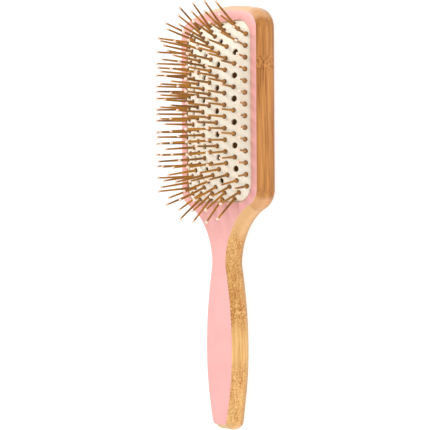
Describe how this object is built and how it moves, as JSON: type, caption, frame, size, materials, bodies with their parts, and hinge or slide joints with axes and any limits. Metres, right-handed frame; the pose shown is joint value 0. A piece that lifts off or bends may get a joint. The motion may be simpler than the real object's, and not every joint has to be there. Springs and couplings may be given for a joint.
{
  "type": "paddle brush",
  "caption": "Paddle hair brush with a bamboo board and handle, a lacquered front and a vented domed rubber cushion that carries ball-tipped pins.",
  "frame": {"origin": "on the flat back, at the middle of the board's length and width", "axes": "+Y from the grip towards the head, +Z out of the front through the pins, X across the board"},
  "size_m": [0.0844, 0.2583, 0.0446],
  "materials": {
    "bamboo": "smooth oiled bamboo",
    "pink_lacquer": "satin",
    "cushion_rubber": "matt, finely mottled",
    "pin_wood": "smooth golden brown",
    "tip_resin": "satin"
  },
  "bodies": {
    "handle": {"bamboo_board": "bamboo", "face_lacquer": "pink_lacquer", "rubber_cushion": "cushion_rubber"},
    "column_1": {"pins_column_1": "pin_wood", "tips_column_1": "tip_resin"},
    "column_2": {"pins_column_2": "pin_wood", "tips_column_2": "tip_resin"},
    "column_3": {"pins_column_3": "pin_wood", "tips_column_3": "tip_resin"},
    "column_4": {"pins_column_4": "pin_wood", "tips_column_4": "tip_resin"},
    "column_5": {"pins_column_5": "pin_wood", "tips_column_5": "tip_resin"},
    "column_6": {"pins_column_6": "pin_wood", "tips_column_6": "tip_resin"},
    "column_7": {"pins_column_7": "pin_wood", "tips_column_7": "tip_resin"},
    "column_8": {"pins_column_8": "pin_wood", "tips_column_8": "tip_resin"},
    "column_9": {"pins_column_9": "pin_wood", "tips_column_9": "tip_resin"},
    "column_10": {"pins_column_10": "pin_wood", "tips_column_10": "tip_resin"},
    "column_11": {"pins_column_11": "pin_wood", "tips_column_11": "tip_resin"},
    "head_end": {"pins_head_end": "pin_wood", "tips_head_end": "tip_resin"},
    "grip_end": {"pins_grip_end": "pin_wood", "tips_grip_end": "tip_resin"}
  },
  "joints": [
    {"name": "press_column_6", "type": "slide", "parent": "handle", "child": "column_6", "axis": [0, 0, -1], "range_m": [0, 0.002], "stiffness_N_per_m": 600, "deforming": ["rubber_cushion"]},
    {"name": "press_column_1", "type": "slide", "parent": "handle", "child": "column_1", "axis": [0, 0, -1], "range_m": [0, 0.00066], "stiffness_N_per_m": 600},
    {"name": "press_column_2", "type": "slide", "parent": "handle", "child": "column_2", "axis": [0, 0, -1], "range_m": [0, 0.00132], "stiffness_N_per_m": 600},
    {"name": "press_column_3", "type": "slide", "parent": "handle", "child": "column_3", "axis": [0, 0, -1], "range_m": [0, 0.00168], "stiffness_N_per_m": 600},
    {"name": "press_column_4", "type": "slide", "parent": "handle", "child": "column_4", "axis": [0, 0, -1], "range_m": [0, 0.00194], "stiffness_N_per_m": 600},
    {"name": "press_column_5", "type": "slide", "parent": "handle", "child": "column_5", "axis": [0, 0, -1], "range_m": [0, 0.00208], "stiffness_N_per_m": 600},
    {"name": "press_column_7", "type": "slide", "parent": "handle", "child": "column_7", "axis": [0, 0, -1], "range_m": [0, 0.00208], "stiffness_N_per_m": 600},
    {"name": "press_column_8", "type": "slide", "parent": "handle", "child": "column_8", "axis": [0, 0, -1], "range_m": [0, 0.00194], "stiffness_N_per_m": 600},
    {"name": "press_column_9", "type": "slide", "parent": "handle", "child": "column_9", "axis": [0, 0, -1], "range_m": [0, 0.00168], "stiffness_N_per_m": 600},
    {"name": "press_column_10", "type": "slide", "parent": "handle", "child": "column_10", "axis": [0, 0, -1], "range_m": [0, 0.00132], "stiffness_N_per_m": 600},
    {"name": "press_column_11", "type": "slide", "parent": "handle", "child": "column_11", "axis": [0, 0, -1], "range_m": [0, 0.00066], "stiffness_N_per_m": 600},
    {"name": "press_head_end", "type": "slide", "parent": "handle", "child": "head_end", "axis": [0, 0, -1], "range_m": [0, 0.00094], "stiffness_N_per_m": 600},
    {"name": "press_grip_end", "type": "slide", "parent": "handle", "child": "grip_end", "axis": [0, 0, -1], "range_m": [0, 0.00094], "stiffness_N_per_m": 600}
  ],
  "couplings": [
    {"joint": "press_column_1", "follows": "press_column_6", "ratio": 0.23},
    {"joint": "press_column_2", "follows": "press_column_6", "ratio": 0.56},
    {"joint": "press_column_3", "follows": "press_column_6", "ratio": 0.74},
    {"joint": "press_column_4", "follows": "press_column_6", "ratio": 0.87},
    {"joint": "press_column_5", "follows": "press_column_6", "ratio": 0.94},
    {"joint": "press_column_7", "follows": "press_column_6", "ratio": 0.94},
    {"joint": "press_column_8", "follows": "press_column_6", "ratio": 0.87},
    {"joint": "press_column_9", "follows": "press_column_6", "ratio": 0.74},
    {"joint": "press_column_10", "follows": "press_column_6", "ratio": 0.56},
    {"joint": "press_column_11", "follows": "press_column_6", "ratio": 0.23},
    {"joint": "press_head_end", "follows": "press_column_6", "ratio": 0.37},
    {"joint": "press_grip_end", "follows": "press_column_6", "ratio": 0.37}
  ]
}
